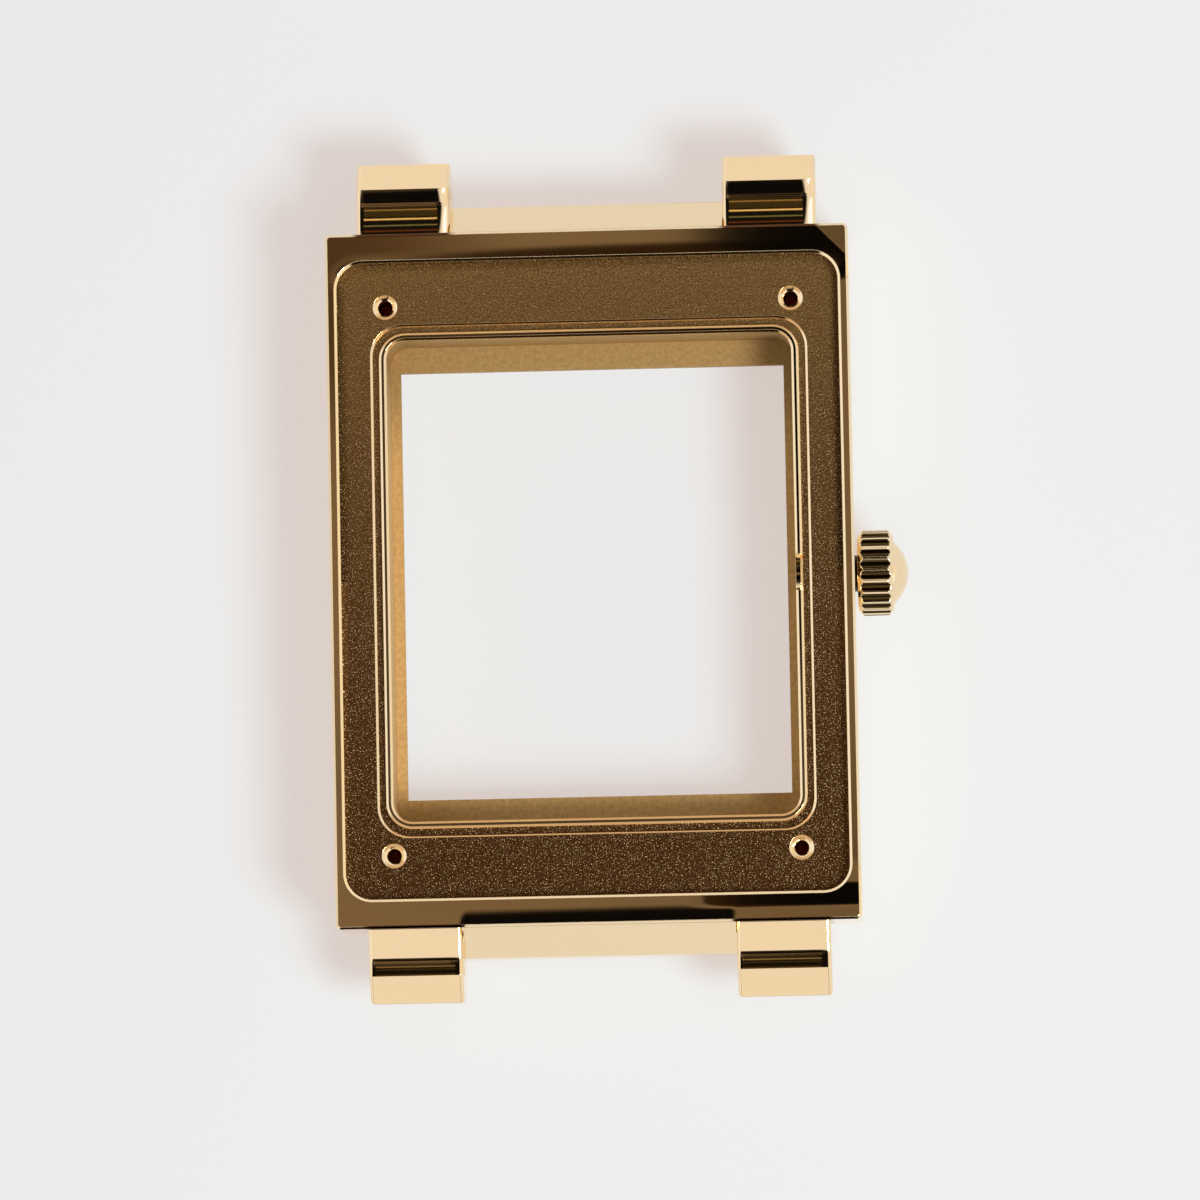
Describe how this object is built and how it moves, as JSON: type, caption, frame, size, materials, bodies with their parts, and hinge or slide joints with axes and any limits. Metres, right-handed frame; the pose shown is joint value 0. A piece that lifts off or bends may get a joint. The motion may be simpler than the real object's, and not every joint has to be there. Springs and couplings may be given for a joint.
{
  "type": "watch case",
  "caption": "Empty rectangular wristwatch case, open at the back, with block lugs, hooded strap gaps, crystal and a fluted crown that pulls out and turns.",
  "frame": {"origin": "centre of the four case-back screw holes, on the seat that the case back lies on", "axes": "+Z out of the open back, +X towards the crown, +Y towards the six o'clock end"},
  "size_m": [0.0317, 0.0462, 0.0069],
  "materials": {
    "polished_gold": "mirror polished yellow gold, grit-blasted inside",
    "sapphire": "clear polished sapphire",
    "white_nylon": "moulded",
    "polished_steel": "turned and polished",
    "black_rubber": "moulded nitrile"
  },
  "bodies": {
    "case": {"case_middle": "polished_gold", "bezel": "polished_gold", "bezel_gasket": "white_nylon", "crystal": "sapphire", "crystal_gasket": "white_nylon", "crown_tube": "polished_steel", "strap_hood_six": "polished_gold", "strap_hood_twelve": "polished_gold", "lug_six_crown_side": "polished_gold", "lug_six_far_side": "polished_gold", "lug_twelve_crown_side": "polished_gold", "lug_twelve_far_side": "polished_gold"},
    "crown_slide": {"crown_seal": "black_rubber"},
    "crown": {"crown_shell": "polished_gold", "crown_cap": "polished_gold", "crown_post": "polished_steel", "crown_washer": "polished_steel"}
  },
  "joints": [
    {"name": "crown_pull", "type": "slide", "parent": "case", "child": "crown_slide", "axis": [1, 0, 0], "range_m": [0, 0.0008]},
    {"name": "crown_turn", "type": "hinge", "parent": "crown_slide", "child": "crown", "pos_m": [0.01437, 0, -0.0019], "axis": [1, 0, 0], "continuous": true}
  ]
}
